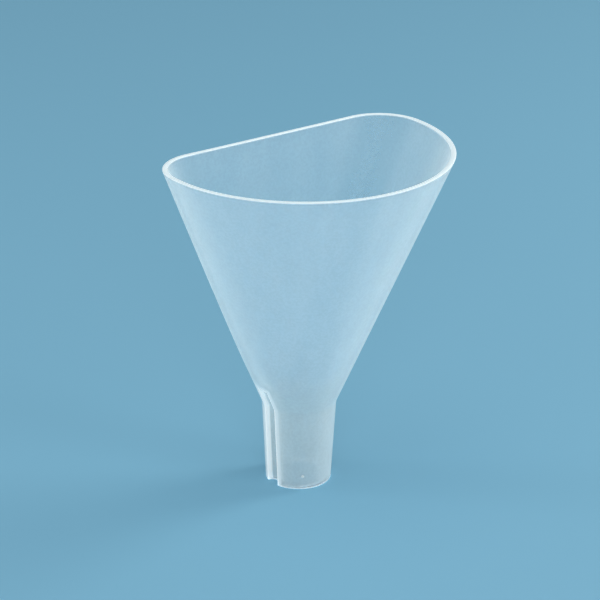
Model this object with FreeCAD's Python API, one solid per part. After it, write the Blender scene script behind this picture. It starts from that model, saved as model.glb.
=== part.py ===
import FreeCAD, Part
import math
import os
from FreeCAD import Vector

# Powder funnel with one flat side, moulded in one piece from natural polypropylene.
# Frame: origin at the centre of the stem's foot, +Z up the stem's axis,
# +Y out of the flat side, and the vent channel on the -X side. Millimetres.
# Each node is one zone of the moulding, and the zones meet face to face.

# Driving dimensions. Sizes are outside sizes unless they say otherwise.
HEIGHT = 141.5
MOUTH_RADIUS = 60.0
STEM_LENGTH = 34.5          # foot to the corner between the stem and the cone
FOOT_RADIUS = 13.3
NECK_RADIUS = 15.1          # stem radius at that corner
WALL = 2.0                  # thickness, square to the surface
BEND_RADIUS = 8.0           # where the stem turns into the cone
NECK_CORNER_RADIUS = 10.4   # corner between round and flat side, at the neck
MOUTH_CORNER_RADIUS = 19.2  # the same corner at the mouth
RIM_HEIGHT = 3.0
RIM_EDGE_RADIUS = 0.6
FOOT_EDGE_RADIUS = 0.2
FLAT_NODE_NECK = 3.3        # half width of the flat side's node at the neck
FLAT_NODE_MOUTH = 40.8      # and at the mouth
VENT_RADIUS = 3.2           # the channel's floor is round
VENT_TOP = 43.0             # the channel runs from the foot up to this height
VENT_FOOT_DEPTH = 3.1       # at the middle of the channel, measured level
VENT_NECK_DEPTH = 2.6
VENT_TOP_DEPTH = 2.2
GATE_RADIUS = 0.65          # the mark left where the plastic was injected
GATE_PROUD = 0.25
GATE_HEIGHT = 5.8
GATE_ANGLE = -119.5         # degrees about +Z, from +X

# Worked-out geometry.
TAPER = math.atan2(NECK_RADIUS - FOOT_RADIUS, STEM_LENGTH)
FLARE = math.atan2(MOUTH_RADIUS - NECK_RADIUS, HEIGHT - STEM_LENGTH)
BEND_LENGTH = BEND_RADIUS * math.tan((FLARE - TAPER) / 2)
BEND_LOW = STEM_LENGTH - BEND_LENGTH * math.cos(TAPER)
BEND_HIGH = STEM_LENGTH + BEND_LENGTH * math.cos(FLARE)
RIM_BASE = HEIGHT - RIM_HEIGHT
VENT_CAP = VENT_TOP + WALL  # top of the wall that closes the channel
MARGIN = 10.0               # how far tools reach past what they cut


def stem_radius(z, inset=0.0):
    """Radius of the stem's taper, carried on upwards as the flat side's line."""
    return FOOT_RADIUS + z * math.tan(TAPER) - inset / math.cos(TAPER)


def cone_radius(z, inset=0.0):
    """Radius of the round side of the cone."""
    return NECK_RADIUS + (z - STEM_LENGTH) * math.tan(FLARE) - inset / math.cos(FLARE)


def bend_radius(z, inset):
    """Radius within the bend, whose arcs all have one centre outside the wall."""
    centre_r = stem_radius(BEND_LOW) + BEND_RADIUS * math.cos(TAPER)
    centre_z = BEND_LOW - BEND_RADIUS * math.sin(TAPER)
    arc = BEND_RADIUS + inset
    return centre_r - math.sqrt(arc ** 2 - (z - centre_z) ** 2)


def bend_top(inset):
    return BEND_HIGH + inset * math.sin(FLARE)


def round_radius(z, inset=0.0):
    """Radius of the round side at height z, on a surface moved in by inset."""
    if z <= BEND_LOW + inset * math.sin(TAPER):
        return stem_radius(z, inset)
    if z < bend_top(inset):
        return bend_radius(z, inset)
    return cone_radius(z, inset)


def d_wire(z, inset):
    """Outline of the cone at height z: an arc, a flat and two rounded corners."""
    rise = (z - STEM_LENGTH) / (HEIGHT - STEM_LENGTH)
    radius = round_radius(z, inset)
    flat_y = stem_radius(z, inset)
    moved_in = (round_radius(z) - radius + stem_radius(z) - flat_y) / 2
    corner = NECK_CORNER_RADIUS + rise * (MOUTH_CORNER_RADIUS - NECK_CORNER_RADIUS)
    corner -= moved_in
    reach = radius - corner             # from the axis to a corner's centre
    start_width = 0.05                  # the flat grows from almost nothing
    corner_x = math.sqrt(max(reach ** 2 - (flat_y - corner) ** 2, start_width ** 2))
    corner_y = math.sqrt(reach ** 2 - corner_x ** 2)
    flat_y = corner_y + corner
    corner_angle = (math.pi / 2 + math.atan2(corner_y, corner_x)) / 2
    middle_x = corner_x + corner * math.cos(corner_angle)
    middle_y = corner_y + corner * math.sin(corner_angle)
    arc_x = corner_x * radius / reach
    arc_y = corner_y * radius / reach
    return Part.Wire([
        Part.Arc(Vector(-arc_x, arc_y, z), Vector(0, -radius, z),
                 Vector(arc_x, arc_y, z)).toShape(),
        Part.Arc(Vector(arc_x, arc_y, z), Vector(middle_x, middle_y, z),
                 Vector(corner_x, flat_y, z)).toShape(),
        Part.makeLine(Vector(corner_x, flat_y, z), Vector(-corner_x, flat_y, z)),
        Part.Arc(Vector(-corner_x, flat_y, z), Vector(-middle_x, middle_y, z),
                 Vector(-arc_x, arc_y, z)).toShape(),
    ])


def lofted(heights, inset):
    return Part.makeLoft([d_wire(z, inset) for z in heights], True)


def cone_body(inset):
    """Everything inside the cone's surface, from the bend to past the mouth."""
    low = bend_top(inset)
    high = HEIGHT + MARGIN
    bend_steps = 6
    cone_steps = 16
    crowding = 1.5                      # sections lie closer near the neck
    bend = [BEND_LOW + (low - BEND_LOW) * i / bend_steps for i in range(bend_steps + 1)]
    cone = [low + (high - low) * (i / cone_steps) ** crowding
            for i in range(cone_steps + 1)]
    return lofted(bend, inset).fuse(lofted(cone, inset))


def turned(outline):
    """Solid of revolution about Z from a closed outline of (radius, z) points."""
    corners = [Vector(r, 0, z) for r, z in outline + outline[:1]]
    face = Part.Face(Part.makePolygon(corners))
    return face.revolve(Vector(), Vector(0, 0, 1), 360)


def slab(low, high):
    """Everything between two heights."""
    reach = MOUTH_RADIUS + MARGIN
    return Part.makeBox(2 * reach, 2 * reach, high - low, Vector(-reach, -reach, low))


def flat_zone():
    """The wedge that holds the flat side: straight edges that widen upwards."""
    widening = (FLAT_NODE_MOUTH - FLAT_NODE_NECK) / (HEIGHT - STEM_LENGTH)
    low = FLAT_NODE_NECK - widening * MARGIN
    high = FLAT_NODE_MOUTH + widening * MARGIN
    bottom = STEM_LENGTH - MARGIN
    top = HEIGHT + MARGIN
    corners = [Vector(x, 0, z) for x, z in
               ((-low, bottom), (low, bottom), (high, top), (-high, top), (-low, bottom))]
    return Part.Face(Part.makePolygon(corners)).extrude(Vector(0, MOUTH_RADIUS, 0))


def vent_axis(z):
    """Distance of the channel's own axis from the funnel's, in straight runs."""
    foot = stem_radius(0) - VENT_FOOT_DEPTH + VENT_RADIUS
    neck = stem_radius(STEM_LENGTH) - VENT_NECK_DEPTH + VENT_RADIUS
    top = cone_radius(VENT_TOP) - VENT_TOP_DEPTH + VENT_RADIUS
    if z <= STEM_LENGTH:
        return foot + (neck - foot) * z / STEM_LENGTH
    return neck + (top - neck) * (z - STEM_LENGTH) / (VENT_TOP - STEM_LENGTH)


def vent_round(radius, high):
    """A round bar along the channel's axis, level where it ends at height high."""
    rings = [Part.Wire(Part.makeCircle(radius, Vector(-vent_axis(z), 0, z)))
             for z in (-MARGIN, STEM_LENGTH, high)]
    lower = Part.makeLoft(rings[:2], True, True)
    upper = Part.makeLoft(rings[1:], True, True)
    return lower.fuse(upper)


def vent_zone():
    """The space that the channel and its wall take up."""
    return vent_round(VENT_RADIUS + WALL, VENT_CAP)


def vent_groove():
    return vent_round(VENT_RADIUS, VENT_TOP)


def stem_tube():
    """Tapered tube with its foot's edges eased, up to the start of the bend."""
    inner_foot = stem_radius(0, WALL)
    ease = FOOT_EDGE_RADIUS
    return turned([
        (inner_foot + ease, 0),
        (FOOT_RADIUS - ease, 0),
        (stem_radius(ease), ease),
        (stem_radius(BEND_LOW), BEND_LOW),
        (stem_radius(BEND_LOW, WALL), BEND_LOW),
        (stem_radius(ease, WALL), ease),
    ])


def gate_mark():
    """Low round pip on the stem near the foot, square to the taper."""
    sink = WALL / 2
    angle = math.radians(GATE_ANGLE)
    outward = Vector(math.cos(angle), math.sin(angle), -math.tan(TAPER))
    outward.normalize()
    surface = Vector(math.cos(angle), math.sin(angle), 0) * stem_radius(GATE_HEIGHT)
    surface.z = GATE_HEIGHT
    return Part.makeCylinder(GATE_RADIUS, sink + GATE_PROUD, surface - outward * sink, outward)


def rim(shell):
    """Top band of the wall, with its inner and outer top edges rounded."""
    band = shell.common(slab(RIM_BASE, HEIGHT))
    edges = [e for e in band.Edges if e.BoundBox.ZMin > HEIGHT - 0.01]
    return band.makeFillet(RIM_EDGE_RADIUS, edges)


def flat_wall(shell):
    return shell.common(slab(BEND_LOW, RIM_BASE)).common(flat_zone())


def round_wall(shell):
    wall = shell.common(slab(BEND_LOW, RIM_BASE))
    return wall.cut(flat_zone()).cut(vent_zone())


def stem():
    return stem_tube().cut(vent_zone()).fuse(gate_mark())


def vent_channel(outside):
    """Round-bottomed trough pressed into the wall, with a closed top end."""
    return outside.common(vent_zone()).cut(vent_groove())


def whole_outside(cone):
    """The funnel's outer form with no hollow, up to above the channel."""
    ease = FOOT_EDGE_RADIUS
    foot = turned([
        (0, 0),
        (FOOT_RADIUS - ease, 0),
        (stem_radius(ease), ease),
        (stem_radius(BEND_LOW), BEND_LOW),
        (0, BEND_LOW),
    ])
    return foot.fuse(cone.common(slab(BEND_LOW, VENT_CAP + MARGIN)))


def main():
    outside = cone_body(0)
    shell = outside.cut(cone_body(WALL))
    nodes = {
        "rim": rim(shell),
        "flat_wall": flat_wall(shell),
        "round_wall": round_wall(shell),
        "stem": stem(),
        "vent_channel": vent_channel(whole_outside(outside)),
    }
    os.makedirs("parts", exist_ok=True)
    for name, shape in nodes.items():
        shape.exportStep("parts/" + name + ".step")
        print(name, shape.ShapeType, len(shape.Solids), round(shape.Volume, 1), shape.isValid())


main()
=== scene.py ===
import math
import bmesh
import bpy
import numpy as np
from mathutils import Matrix, Vector
from mathutils.bvhtree import BVHTree


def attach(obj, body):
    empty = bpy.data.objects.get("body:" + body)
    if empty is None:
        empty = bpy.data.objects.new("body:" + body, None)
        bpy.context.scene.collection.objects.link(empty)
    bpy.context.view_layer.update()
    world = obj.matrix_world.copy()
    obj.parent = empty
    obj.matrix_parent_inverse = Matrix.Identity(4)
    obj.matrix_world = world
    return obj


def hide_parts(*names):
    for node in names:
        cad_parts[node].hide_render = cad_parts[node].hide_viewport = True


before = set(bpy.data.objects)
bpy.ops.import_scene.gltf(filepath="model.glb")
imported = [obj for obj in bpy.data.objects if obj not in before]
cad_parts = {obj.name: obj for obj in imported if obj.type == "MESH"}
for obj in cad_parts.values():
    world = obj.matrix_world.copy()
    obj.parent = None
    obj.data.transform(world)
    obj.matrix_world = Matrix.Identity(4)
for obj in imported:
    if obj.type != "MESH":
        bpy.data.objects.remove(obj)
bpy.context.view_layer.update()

# The funnel is one moulding, so its looks are one closed skin over all the CAD zones.
# The shape is in millimetres, as the funnel is dimensioned, and turned into metres when
# a mesh is made. The materials, lights and camera are in metres.
MM = 0.001
HEIGHT = 141.5
MOUTH_RADIUS = 60.0
STEM_LENGTH = 34.5
FOOT_RADIUS = 13.3
NECK_RADIUS = 15.1
WALL = 2.0
BEND_RADIUS = 8.0
NECK_CORNER_RADIUS = 10.4
MOUTH_CORNER_RADIUS = 19.2
RIM_EDGE_RADIUS = 0.6
FOOT_EDGE_RADIUS = 0.2
VENT_RADIUS = 3.2
VENT_TOP = 43.0
VENT_FOOT_DEPTH = 3.1
VENT_NECK_DEPTH = 2.6
VENT_TOP_DEPTH = 2.2
VENT_EDGE_RADIUS = 0.25
GATE_RADIUS = 0.65
GATE_PROUD = 0.25
GATE_HEIGHT = 5.8
GATE_ANGLE = math.radians(-119.5)

TAPER = math.atan2(NECK_RADIUS - FOOT_RADIUS, STEM_LENGTH)
FLARE = math.atan2(MOUTH_RADIUS - NECK_RADIUS, HEIGHT - STEM_LENGTH)
BEND_LENGTH = BEND_RADIUS * math.tan((FLARE - TAPER) / 2)
BEND_LOW = STEM_LENGTH - BEND_LENGTH * math.cos(TAPER)
BEND_HIGH = STEM_LENGTH + BEND_LENGTH * math.cos(FLARE)
VENT_CAP = VENT_TOP + WALL


# ---------------------------------------------------------------- surfaces

def stem_radius(z, inset=0.0):
    """Radius of the stem's taper, carried on upwards as the flat side's line."""
    return FOOT_RADIUS + z * math.tan(TAPER) - inset / math.cos(TAPER)


def cone_radius(z, inset=0.0):
    return NECK_RADIUS + (z - STEM_LENGTH) * math.tan(FLARE) - inset / math.cos(FLARE)


def round_radius(z, inset=0.0):
    """Radius of the round side, on a surface moved in by inset from the outside."""
    if z <= BEND_LOW + inset * math.sin(TAPER):
        return stem_radius(z, inset)
    if z >= BEND_HIGH + inset * math.sin(FLARE):
        return cone_radius(z, inset)
    centre_r = stem_radius(BEND_LOW) + BEND_RADIUS * math.cos(TAPER)
    centre_z = BEND_LOW - BEND_RADIUS * math.sin(TAPER)
    return centre_r - math.sqrt((BEND_RADIUS + inset) ** 2 - (z - centre_z) ** 2)


def outline_reach(angles, z, inset):
    """Distance from the axis to the D-shaped outline in each direction."""
    radius = round_radius(z, inset)
    flat_y = stem_radius(z, inset)
    reach = np.full(len(angles), radius)
    if radius - flat_y < 1e-6:
        return reach
    rise = (z - STEM_LENGTH) / (HEIGHT - STEM_LENGTH)
    moved_in = (round_radius(z) - radius + stem_radius(z) - flat_y) / 2
    corner = NECK_CORNER_RADIUS + rise * (MOUTH_CORNER_RADIUS - NECK_CORNER_RADIUS)
    corner -= moved_in
    centre_y = flat_y - corner
    centre_x = math.sqrt((radius - corner) ** 2 - centre_y ** 2)
    across = np.abs(np.cos(angles))
    along = np.sin(angles)
    on_flat = (along > 0) & (across * flat_y <= centre_x * along)
    past_corner = across * centre_y >= centre_x * along
    on_corner = ~on_flat & ~past_corner
    towards = across * centre_x + along * centre_y
    spare = np.maximum(towards ** 2 - centre_x ** 2 - centre_y ** 2 + corner ** 2, 0)
    reach[on_corner] = (towards + np.sqrt(spare))[on_corner]
    reach[on_flat] = flat_y / along[on_flat]
    return reach


def vent_axis(z):
    """Distance of the channel's own axis from the funnel's, in straight runs."""
    foot = stem_radius(0) - VENT_FOOT_DEPTH + VENT_RADIUS
    neck = stem_radius(STEM_LENGTH) - VENT_NECK_DEPTH + VENT_RADIUS
    top = cone_radius(VENT_TOP) - VENT_TOP_DEPTH + VENT_RADIUS
    if z <= STEM_LENGTH:
        return foot + (neck - foot) * z / STEM_LENGTH
    return neck + (top - neck) * (z - STEM_LENGTH) / (VENT_TOP - STEM_LENGTH)


def vent_lip(z, inset=0.0):
    """The y at which the channel's round floor meets the face that it is cut into."""
    axis = vent_axis(z)
    radius = round_radius(z, inset)
    x = (axis ** 2 + radius ** 2 - (VENT_RADIUS + inset) ** 2) / (2 * axis)
    return math.sqrt(radius ** 2 - x ** 2)


# ---------------------------------------------------------------- mesh

# Columns of points run up the wall. Near the vent they keep a constant y, so that its
# lips are edges of the mesh. Each list runs from beside the vent towards its lip.
GROOVE_SIDE = [9.0, 7.6, 6.4, 5.5, 4.7, 4.0, 3.5]
RIDGE_SIDE = [8.8, 7.9, 7.1, 6.4, 5.8, 5.3, 4.9]
FLOOR_COLUMNS = 15
EVEN_COLUMNS = 190          # round the rest of the wall
VENT_FADE = 75.0            # height where all columns are evenly spread again
ROW_STEP = 2.8
BEND_STEP = 0.5
END_ROWS = [0.7, 1.1, 1.6]  # rows this far from the foot and from the rim
END_GAP = 3.1               # and the even rows start this far from them
VENT_END_ROW = 1.1          # one row this far below the vent's end and one above it
VENT_END_GAP = 2.6
SHARP = math.radians(35)    # edges sharper than this are rounded
EDGE_SEGMENTS = 4
SAME_POINT = 1e-7           # metres


def smooth_step(value):
    value = min(max(value, 0.0), 1.0)
    return value * value * (3 - 2 * value)


def vent_columns(z, outer):
    """The y of each vent column, from +y to -y, and which of them lie on its floor."""
    side = GROOVE_SIDE if outer else RIDGE_SIDE
    radius = VENT_RADIUS if outer else VENT_RADIUS + WALL
    lip = vent_lip(z, 0.0 if outer else WALL)
    turns = np.linspace(1, -1, FLOOR_COLUMNS + 2) * math.asin(lip / radius)
    ys = np.concatenate([side, radius * np.sin(turns), -np.array(side[::-1])])
    on_floor = np.zeros(len(ys), dtype=bool)
    on_floor[len(side) + 1:-len(side) - 1] = True
    return ys, on_floor


def ring(z, outer, cut):
    """One closed loop of points at height z, on the outside or the inside face."""
    inset = 0.0 if outer else WALL
    ys, on_floor = vent_columns(min(z, VENT_TOP if outer else VENT_CAP), outer)
    start = math.asin(ys[0] / round_radius(min(z, VENT_CAP), inset))
    angles = math.pi - np.arcsin(ys / ys[0] * math.sin(start))
    even = np.linspace(angles[0], angles[-1], len(ys))
    spread = smooth_step((z - VENT_CAP) / (VENT_FADE - VENT_CAP))
    angles = angles + spread * (even - angles)
    rest = np.linspace(angles[-1], angles[0] + 2 * math.pi, EVEN_COLUMNS + 2)[1:-1]
    angles = np.concatenate([angles, rest])
    reach = outline_reach(angles, z, inset)
    points = np.column_stack([
        reach * np.cos(angles), reach * np.sin(angles), np.full(len(angles), z)])
    if cut:
        vent = points[:len(ys)]
        across = np.sqrt((VENT_RADIUS + inset) ** 2 - ys[on_floor] ** 2)
        vent[on_floor, 0] = across - vent_axis(z)
        vent[on_floor, 1] = ys[on_floor]
    return points


def heights(low, high, step):
    """Evenly spaced heights from low up to, but without, high."""
    count = max(1, round((high - low) / step))
    return [low + (high - low) * i / count for i in range(count)]


def wall_rings(outer, vent_end):
    """One face of the wall from the foot up. The vent's end has a cut and a plain ring."""
    bend_end = BEND_HIGH + (0.0 if outer else WALL * math.sin(FLARE))
    cut = [0.0] + END_ROWS
    cut += heights(END_GAP, BEND_LOW, ROW_STEP)
    cut += heights(BEND_LOW, bend_end, BEND_STEP)
    cut += heights(bend_end, vent_end - VENT_END_ROW, ROW_STEP)
    cut += [vent_end - VENT_END_ROW, vent_end]
    plain = [vent_end, vent_end + VENT_END_ROW]
    plain += heights(vent_end + VENT_END_GAP, HEIGHT - END_GAP, ROW_STEP)
    plain += [HEIGHT - row for row in reversed(END_ROWS)] + [HEIGHT]
    rings = [ring(z, outer, True) for z in cut]
    return rings + [ring(z, outer, False) for z in plain]


def sharp_skin():
    """The whole wall as one closed mesh whose edges aren't rounded yet."""
    rows = wall_rings(True, VENT_TOP)[::-1] + wall_rings(False, VENT_CAP)
    around = len(rows[0])
    points = np.concatenate(rows) * MM
    faces = []
    for row in range(len(rows)):
        upper = row * around
        lower = (row + 1) % len(rows) * around
        for column in range(around):
            beside = (column + 1) % around
            faces.append((upper + column, lower + column, lower + beside, upper + beside))
    mesh = bpy.data.meshes.new("funnel")
    mesh.from_pydata(points.tolist(), [], faces)
    shape = bmesh.new()
    shape.from_mesh(mesh)
    bmesh.ops.remove_doubles(shape, verts=shape.verts, dist=SAME_POINT)
    bmesh.ops.dissolve_degenerate(shape, dist=SAME_POINT, edges=shape.edges)
    bmesh.ops.recalc_face_normals(shape, faces=shape.faces)
    mark_edges(shape)
    shape.to_mesh(mesh)
    shape.free()
    return mesh


def mark_edges(shape):
    """Weights each sharp outward edge by the radius that it is rounded to."""
    layer = shape.edges.layers.float.new("bevel_weight_edge")
    for edge in shape.edges:
        if edge.calc_face_angle(0) < SHARP or not edge.is_convex:
            continue
        ends = [vert.co.z / MM for vert in edge.verts]
        radius = VENT_EDGE_RADIUS
        if min(ends) > HEIGHT - 1:
            radius = RIM_EDGE_RADIUS
        if max(ends) < 1e-3:
            radius = FOOT_EDGE_RADIUS
        edge[layer] = radius / RIM_EDGE_RADIUS


def applied(obj):
    """Turns an object's modifiers into its mesh."""
    view = bpy.context.evaluated_depsgraph_get()
    obj.data = bpy.data.meshes.new_from_object(obj.evaluated_get(view))
    obj.modifiers.clear()


def add_object(name, data):
    obj = bpy.data.objects.new(name, data)
    bpy.context.scene.collection.objects.link(obj)
    return obj


def make_funnel():
    funnel = add_object("funnel", sharp_skin())
    rounding = funnel.modifiers.new("rounding", "BEVEL")
    rounding.limit_method = "WEIGHT"
    rounding.width = RIM_EDGE_RADIUS * MM
    rounding.segments = EDGE_SEGMENTS
    rounding.use_clamp_overlap = False
    shading = funnel.modifiers.new("shading", "WEIGHTED_NORMAL")
    shading.weight = 50
    applied(funnel)
    mesh = funnel.data
    mesh.shade_smooth()
    store(mesh, "walls", thickness(mesh))
    # The edges attribute holds the painted glow along the wall's edges and the vent's
    # lips.
    store(mesh, "edges", [painted_edge_glow(*(vertex.co / MM)) for vertex in mesh.vertices])
    return funnel


# The mark left where the plastic was injected.
GATE_SINK = 0.6             # how deep it reaches into the wall
GATE_FOOT_RADIUS = 1.15 * GATE_RADIUS
GATE_BANDS = 6
GATE_SIDES = 24
# The gate mark is painted with half the edges' glow, so it shows as a bright dot.
GATE_PAINTED_GLOW = 0.5


def make_gate_mark():
    """A low dome, square to the stem's taper."""
    profile = [(GATE_FOOT_RADIUS, -GATE_SINK)]
    for band in range(GATE_BANDS):
        turn = band / GATE_BANDS * math.pi / 2
        profile.append((GATE_RADIUS * math.cos(turn), GATE_PROUD * math.sin(turn)))
    shape = bmesh.new()
    rings = []
    for radius, rise in profile:
        turns = [2 * math.pi * i / GATE_SIDES for i in range(GATE_SIDES)]
        rings.append([shape.verts.new((
            radius * MM * math.cos(turn), radius * MM * math.sin(turn), rise * MM))
            for turn in turns])
    top = shape.verts.new((0, 0, GATE_PROUD * MM))
    shape.faces.new(rings[0][::-1])
    for i in range(GATE_SIDES):
        j = (i + 1) % GATE_SIDES
        for low, high in zip(rings, rings[1:]):
            shape.faces.new((low[i], low[j], high[j], high[i]))
        shape.faces.new((rings[-1][i], rings[-1][j], top))
    outward = Vector((math.cos(GATE_ANGLE), math.sin(GATE_ANGLE), -math.tan(TAPER)))
    place = outward.to_track_quat("Z", "Y").to_matrix().to_4x4()
    surface = stem_radius(GATE_HEIGHT)
    place.translation = Vector((
        surface * math.cos(GATE_ANGLE), surface * math.sin(GATE_ANGLE), GATE_HEIGHT)) * MM
    bmesh.ops.transform(shape, matrix=place, verts=shape.verts)
    mesh = bpy.data.meshes.new("gate_mark")
    shape.to_mesh(mesh)
    shape.free()
    mesh.shade_smooth()
    store(mesh, "walls", [1.0] * len(mesh.vertices))
    store(mesh, "edges", [GATE_PAINTED_GLOW] * len(mesh.vertices))
    return add_object("gate_mark", mesh)


# ---------------------------------------------------------------- what the material reads

RAYS = 14
RAY_SPREAD = math.radians(65)
RAY_START = 0.02            # just inside the surface
RAY_LIMIT = 5.0             # in walls
SMOOTHING = 6               # rounds of averaging

# The edges are painted to glow, standing in for light that runs along inside the wall and
# comes out there. The glow is full up to the first distance from an edge, and gone at the
# second.
RIM_GLOW = (0.1, 0.5)
FOOT_GLOW = (0.1, 1.0)
LIP_GLOW = (0.15, 0.65)     # along the vent's lips
FACE_GLOW = (1.6, 2.8)      # a weaker glow beside the lips, on the outer face
GROOVE_GLOW = (1.44, 2.24)  # and in the groove
FACE_SHARE = 0.4
GROOVE_SHARE = 0.7
FLOOR_SHARE = 0.08          # the groove's floor is painted with a little glow all over, lightening its shade
NEAR = 0.3                  # closer than this to a surface is on it
NEAR_END = 0.2


def store(mesh, name, values):
    mesh.attributes.new(name, "FLOAT", "POINT").data.foreach_set("value", values)


def inward_rays():
    """Directions spread evenly round straight in."""
    rays = []
    for index in range(RAYS):
        z = 1 - (index + 0.5) / RAYS * (1 - math.cos(RAY_SPREAD))
        turn = index * math.pi * (3 - math.sqrt(5))
        side = math.sqrt(1 - z * z)
        rays.append(Vector((side * math.cos(turn), side * math.sin(turn), -z)))
    return rays


def thickness(mesh):
    """How much plastic lies behind each point of the surface, in walls: the mean length
    of rays sent inwards from it, beside the same mean on a plain wall."""
    shape = bmesh.new()
    shape.from_mesh(mesh)
    tree = BVHTree.FromBMesh(shape)
    shape.free()
    rays = inward_rays()
    longest = RAY_LIMIT * WALL
    plain = sum(min(WALL / -ray.z, longest) for ray in rays)
    values = []
    for vertex in mesh.vertices:
        turn = vertex.normal.to_track_quat("Z", "Y")
        start = vertex.co - vertex.normal * RAY_START * MM
        total = 0.0
        for ray in rays:
            length = tree.ray_cast(start, turn @ ray, longest * MM)[3]
            total += longest if length is None else length / MM
        values.append(total / plain)
    return smoothed(mesh, np.array(values))


def smoothed(mesh, values):
    """Averages each point's value with its neighbours', over and over."""
    ends = np.empty(2 * len(mesh.edges), dtype=int)
    mesh.edges.foreach_get("vertices", ends)
    first, second = ends.reshape(-1, 2).T
    count = np.bincount(ends, minlength=len(values))
    for _ in range(SMOOTHING):
        around = np.bincount(first, values[second], len(values))
        around += np.bincount(second, values[first], len(values))
        values = (values + around / count) / 2
    return values


def fade(distance, full, gone):
    return smooth_step((gone - distance) / (gone - full))


def painted_edge_glow(x, y, z):
    """How much painted glow a point of the skin gets: 1 on the wall's edges, less
    beside the vent's lips, and 0 on the faces."""
    glow = max(fade(HEIGHT - z, *RIM_GLOW), fade(z, *FOOT_GLOW))
    z = max(z, 0.0)
    if x > 0 or z > VENT_TOP + FACE_GLOW[1]:
        return glow
    level = min(z, VENT_TOP)
    above = z - level
    lip = vent_lip(level)
    from_vent_axis = math.hypot(x + vent_axis(level), y)
    if math.hypot(x, y) > round_radius(z) - NEAR:
        beside = math.hypot(max(abs(y) - lip, 0.0), above)
        band = FACE_SHARE * fade(beside, *FACE_GLOW)
    elif from_vent_axis < VENT_RADIUS + NEAR and above < NEAR_END:
        turn = math.asin(lip / VENT_RADIUS) - math.asin(min(abs(y) / VENT_RADIUS, 1.0))
        beside = turn * VENT_RADIUS
        band = FLOOR_SHARE + GROOVE_SHARE * fade(beside, *GROOVE_GLOW)
    else:
        return glow
    return max(glow, band, fade(beside, *LIP_GLOW))


# ---------------------------------------------------------------- materials

CLEAR_PER_FACE = 0.88       # share of light that goes straight on through one face
CLEAR_TINT = (0.97, 0.985, 1, 1)
EDGE_WALLS = 14.0           # an edge painted to glow is as milky as this many walls
STEM_WALLS = 2.5            # and the thick stem is milkier than the cone, from these
STEM_RISE = (0.060, 0.022)  # heights down, and again below the bend
NECK_WALLS = 1.35
NECK_RISE = (0.0364, 0.0331)
MILK = ((0.81, 0.90, 0.92, 1), (0.84, 0.92, 0.94, 1))
# The milk turns darker down the stem, from these heights down: painted shade over the
# plastic's own tone.
SHADED_STEM_MILK = (0.67, 0.75, 0.765, 1)
STEM_SHADE_RISE = (0.070, 0.022)
# Colours of the painted glow on the edges: a white front and a translucent back, the back
# brighter along the foot's bottom line.
PAINTED_GLOW_FRONT = (0.95, 0.91, 0.88, 1)
PAINTED_GLOW_BACK = (0.48, 0.43, 0.39, 1)
PAINTED_FOOT_GLOW = (0.88, 0.86, 0.84, 1)
FOOT_RISE = (0.004, 0.001)
REFRACTION = 1.49
FLOOR_TONES = ((0.235, 0.500, 0.665, 1), (0.243, 0.512, 0.678, 1))


def new_material(name):
    material = bpy.data.materials.new(name)
    material.use_nodes = True
    material.node_tree.nodes.clear()
    return material, material.node_tree


def add_node(tree, kind, inputs=None, **settings):
    """A shader node. Inputs are by name, as values or as sockets to link."""
    node = tree.nodes.new(kind)
    for key, value in settings.items():
        setattr(node, key, value)
    for key, value in (inputs or {}).items():
        if isinstance(value, bpy.types.NodeSocket):
            tree.links.new(value, node.inputs[key])
        else:
            node.inputs[key].default_value = value
    return node


def maths(tree, operation, first, second):
    node = add_node(tree, "ShaderNodeMath", {0: first, 1: second}, operation=operation)
    return node.outputs[0]


def ramp(tree, value, low, high, start=0.0, end=1.0):
    """value from low to high gives start to end, smoothly."""
    node = add_node(tree, "ShaderNodeMapRange", {
        "Value": value, "From Min": low, "From Max": high, "To Min": start, "To Max": end},
        interpolation_type="SMOOTHSTEP")
    return node.outputs["Result"]


def mixed(tree, factor, first, second):
    node = add_node(tree, "ShaderNodeMix", {
        "Factor": factor, "A": first, "B": second}, data_type="RGBA")
    return node.outputs["Result"]


def noise(tree, where, scale, detail, roughness):
    node = add_node(tree, "ShaderNodeTexNoise", {
        "Vector": where, "Scale": scale, "Detail": detail, "Roughness": roughness})
    return node.outputs["Fac"]


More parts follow.
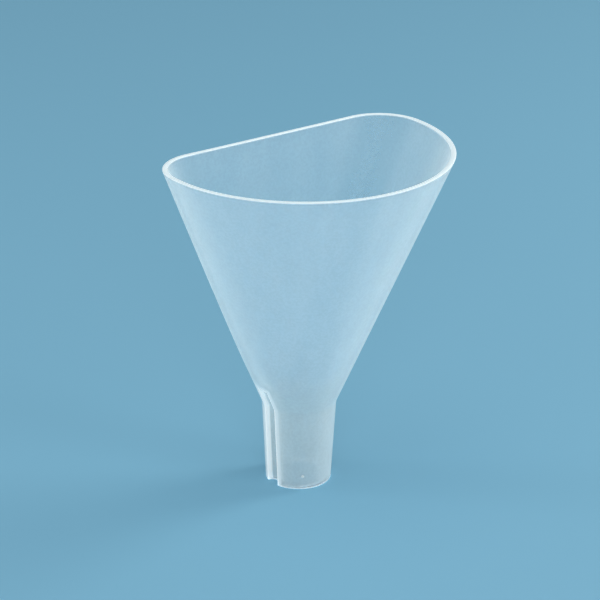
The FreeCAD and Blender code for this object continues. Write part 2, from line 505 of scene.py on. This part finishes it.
def natural_polypropylene():
    """Milky plastic. Each face of the wall lets part of the light straight through,
    less of it where it is crossed at a slant or is thick, and scatters the rest."""
    material, tree = new_material("natural_polypropylene")
    where = add_node(tree, "ShaderNodeTexCoord").outputs["Object"]
    height = add_node(tree, "ShaderNodeSeparateXYZ", {"Vector": where}).outputs["Z"]
    walls = add_node(tree, "ShaderNodeAttribute", attribute_name="walls").outputs["Fac"]
    edges = add_node(tree, "ShaderNodeAttribute", attribute_name="edges").outputs["Fac"]
    # Clouds drawn out up the wall, as the plastic flowed, and a fine grain.
    drawn_up = add_node(tree, "ShaderNodeMapping", {
        "Vector": where, "Scale": (1.0, 1.0, 0.3)}).outputs["Vector"]
    clouds = noise(tree, drawn_up, 60.0, 3.0, 0.55)
    grain = noise(tree, where, 900.0, 2.0, 0.6)

    facing = add_node(tree, "ShaderNodeLayerWeight", {"Blend": 0.5}).outputs["Facing"]
    slant = maths(tree, "SUBTRACT", 1.0, facing)
    slant = maths(tree, "POWER", maths(tree, "MAXIMUM", slant, 0.04), 1.5)
    path = maths(tree, "DIVIDE", maths(tree, "POWER", walls, 1.5), slant)
    for factor in (
            ramp(tree, height, *STEM_RISE, 1.0, STEM_WALLS),
            ramp(tree, height, *NECK_RISE, 1.0, NECK_WALLS),
            ramp(tree, clouds, 0.3, 0.7, 0.94, 1.06),
            ramp(tree, grain, 0.35, 0.65, 0.94, 1.06)):
        path = maths(tree, "MULTIPLY", path, factor)
    # Where the edges are painted to glow, the wall is made opaque so that the painted glow
    # shows.
    path = maths(tree, "ADD", path, maths(tree, "MULTIPLY", edges, EDGE_WALLS))
    clear = maths(tree, "POWER", CLEAR_PER_FACE, path)

    milk = mixed(tree, ramp(tree, clouds, 0.35, 0.65), *MILK)
    # Painted shade: the milk darkens down the stem.
    milk = mixed(tree, ramp(tree, height, *STEM_SHADE_RISE), milk, SHADED_STEM_MILK)
    grain_bump = add_node(tree, "ShaderNodeBump", {
        "Strength": 0.12, "Distance": 0.0002, "Height": grain}).outputs["Normal"]
    face = add_node(tree, "ShaderNodeBsdfPrincipled", {
        "Base Color": milk, "Roughness": 0.36, "IOR": REFRACTION, "Normal": grain_bump,
        "Subsurface Weight": 1.0, "Subsurface Radius": (1.0, 1.0, 1.0),
        "Subsurface Scale": 0.005})
    # The painted glow: a white face and a translucent back added together, brighter than a
    # plain face under the same lamps.
    painted_glow_front = add_node(tree, "ShaderNodeBsdfPrincipled", {
        "Base Color": PAINTED_GLOW_FRONT, "Roughness": 0.3, "IOR": REFRACTION})
    painted_glow_back = add_node(tree, "ShaderNodeBsdfTranslucent", {
        "Color": mixed(tree, ramp(tree, height, *FOOT_RISE), PAINTED_GLOW_BACK, PAINTED_FOOT_GLOW)})
    edge = add_node(tree, "ShaderNodeAddShader", {
        0: painted_glow_front.outputs[0], 1: painted_glow_back.outputs[0]})
    body = add_node(tree, "ShaderNodeMixShader", {
        "Fac": edges, 1: face.outputs[0], 2: edge.outputs[0]})
    open_air = add_node(tree, "ShaderNodeBsdfTransparent", {"Color": CLEAR_TINT})
    wall = add_node(tree, "ShaderNodeMixShader", {
        "Fac": clear, 1: body.outputs[0], 2: open_air.outputs[0]})
    add_node(tree, "ShaderNodeOutputMaterial", {"Surface": wall.outputs[0]})
    return material


def stage_floor():
    material, tree = new_material("stage_floor")
    where = add_node(tree, "ShaderNodeTexCoord").outputs["Object"]
    paper = add_node(tree, "ShaderNodeBsdfPrincipled", {
        "Base Color": mixed(tree, noise(tree, where, 3.0, 2.0, 0.5), *FLOOR_TONES),
        "Roughness": 0.7})
    add_node(tree, "ShaderNodeOutputMaterial", {"Surface": paper.outputs[0]})
    return material


# ---------------------------------------------------------------- stage and camera

FLOOR_RADIUS = 5.0
SKY_COLOUR = (0.66, 0.82, 0.89, 1)
SKY_STRENGTH = 0.54
CAMERA_AZIMUTH = math.radians(-37.08)   # 0 looks along +Y
CAMERA_ELEVATION = math.radians(23.14)
CAMERA_ROLL = math.radians(0.568)
CAMERA_DISTANCE = 0.893                 # from a point on the funnel's axis
CAMERA_AIM_HEIGHT = 0.0778
CAMERA_LENS = 134.7                     # mm, on the default 36 mm sensor


def make_floor():
    bpy.ops.mesh.primitive_circle_add(vertices=96, radius=FLOOR_RADIUS, fill_type="NGON")
    floor = bpy.context.object
    floor.name = "floor"
    floor.data.materials.append(stage_floor())


def in_view(right, away, up):
    """A point given to the camera's right, away from it and up, from the funnel's foot."""
    to_right = Vector((math.cos(CAMERA_AZIMUTH), math.sin(CAMERA_AZIMUTH), 0))
    to_back = Vector((-math.sin(CAMERA_AZIMUTH), math.cos(CAMERA_AZIMUTH), 0))
    return to_right * right + to_back * away + Vector((0, 0, up))


def add_light(name, place, size, power, color):
    """A round lamp that shines on the funnel's middle and isn't seen itself."""
    light = bpy.data.lights.new(name, "AREA")
    light.shape = "DISK"
    light.size = size
    light.energy = power
    light.color = color
    obj = add_object(name, light)
    obj.location = place
    aim = Vector((0, 0, 0.5 * HEIGHT * MM)) - obj.location
    obj.rotation_mode = "QUATERNION"
    obj.rotation_quaternion = aim.to_track_quat("-Z", "Y")
    obj.visible_camera = False


def make_lights():
    add_light("key", in_view(1.1, 0.5, 0.8), 0.5, 5, (1.0, 0.985, 0.96))
    add_light("front", in_view(0.05, -1.3, 0.3), 0.9, 7, (0.98, 0.99, 1.0))
    add_light("right", in_view(1.2, -0.55, 0.3), 0.4, 2.8, (0.98, 0.99, 1.0))
    add_light("left", in_view(-1.3, 0.1, 0.18), 0.35, 4.5, (0.97, 0.985, 1.0))
    add_light("top", in_view(-0.2, -0.2, 1.4), 0.8, 2, (1.0, 1.0, 1.0))
    world = bpy.data.worlds.new("world")
    bpy.context.scene.world = world
    world.use_nodes = True
    sky = world.node_tree.nodes["Background"]
    sky.inputs["Color"].default_value = SKY_COLOUR
    sky.inputs["Strength"].default_value = SKY_STRENGTH


def make_camera():
    camera = add_object("camera", bpy.data.cameras.new("camera"))
    camera.data.lens = CAMERA_LENS
    back = Vector((
        math.sin(CAMERA_AZIMUTH) * math.cos(CAMERA_ELEVATION),
        -math.cos(CAMERA_AZIMUTH) * math.cos(CAMERA_ELEVATION),
        math.sin(CAMERA_ELEVATION)))
    turn = (-back).to_track_quat("-Z", "Y").to_matrix().to_4x4()
    turn = turn @ Matrix.Rotation(CAMERA_ROLL, 4, "Z")
    turn.translation = Vector((0, 0, CAMERA_AIM_HEIGHT)) + back * CAMERA_DISTANCE
    camera.matrix_world = turn
    bpy.context.scene.camera = camera


plastic = natural_polypropylene()
funnel = make_funnel()
gate_mark = make_gate_mark()
for piece in (funnel, gate_mark):
    piece.data.materials.clear()
    piece.data.materials.append(plastic)
    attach(piece, "root")
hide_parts("rim", "round_wall", "flat_wall", "stem", "vent_channel")
make_floor()
make_lights()
make_camera()
bpy.context.scene.view_settings.view_transform = "Standard"
